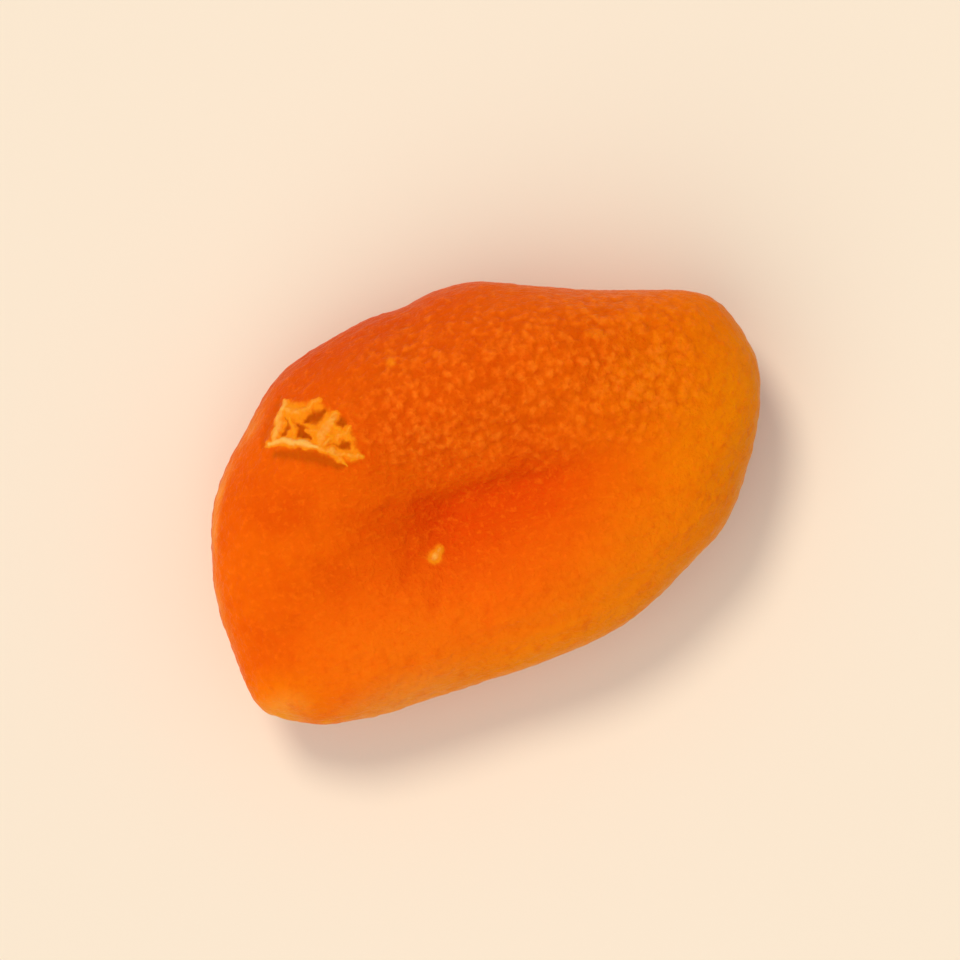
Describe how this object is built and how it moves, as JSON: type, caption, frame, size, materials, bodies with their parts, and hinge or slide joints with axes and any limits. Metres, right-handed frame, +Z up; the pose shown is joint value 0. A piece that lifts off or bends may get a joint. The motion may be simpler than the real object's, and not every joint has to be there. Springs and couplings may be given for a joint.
{
  "type": "dried apricot",
  "caption": "Whole pitted dried apricot, a flattened leathery orange cushion with a folded hollow on top, lying on its flatter side.",
  "frame": {"origin": "under the middle of the fruit's box, on the surface that it lies on", "axes": "+X along the fruit from its pinched tip to its blunt end, +Y across it towards the pebbled upper lobe, +Z up out of the folded face"},
  "size_m": [0.0436, 0.0282, 0.0137],
  "materials": {
    "dried_skin": "satin, slightly translucent"
  },
  "bodies": {
    "root": {"apricot": "dried_skin"}
  },
  "joints": []
}
